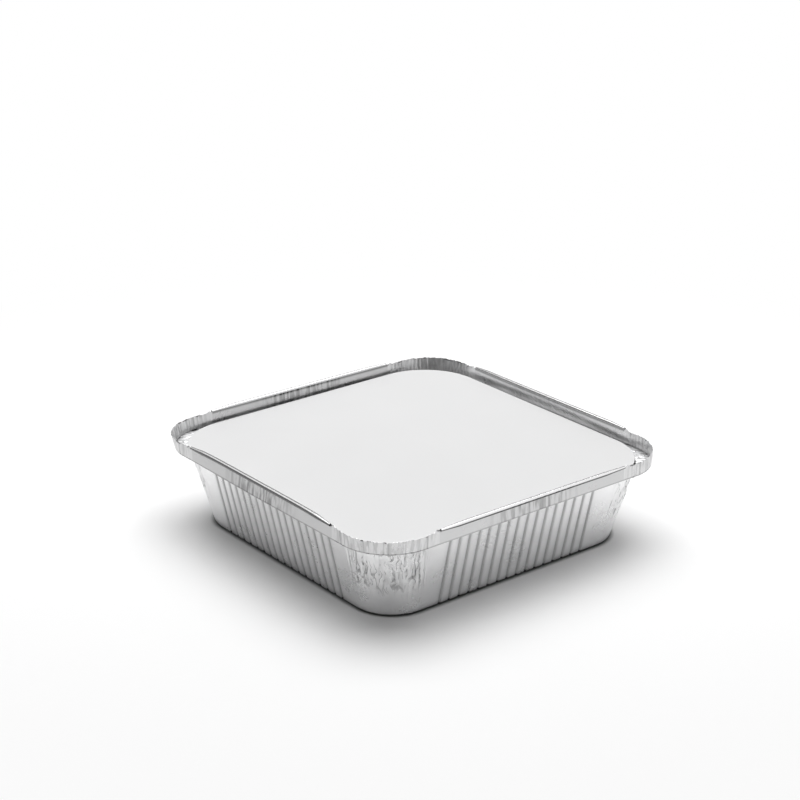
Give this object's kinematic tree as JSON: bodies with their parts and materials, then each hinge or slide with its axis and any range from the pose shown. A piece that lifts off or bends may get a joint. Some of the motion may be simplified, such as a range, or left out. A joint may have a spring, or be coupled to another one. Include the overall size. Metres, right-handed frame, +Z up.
{
  "type": "foil food container",
  "caption": "Square foil tray with grooved walls, gathered corners and a standing rolled rim, covered by a loose white board lid.",
  "frame": {"origin": "under the middle of the base, on the surface the container stands on", "axes": "+Z up, X and Y along the sides; the face towards -Y carries 16 grooves and the face towards -X carries 17"},
  "size_m": [0.2332, 0.2332, 0.0593],
  "materials": {
    "foil": "bright rolled foil, softly blurred reflections",
    "board": "matte white clay-coated board"
  },
  "bodies": {
    "root": {"foil_tray": "foil", "board_lid": "board"}
  },
  "joints": []
}
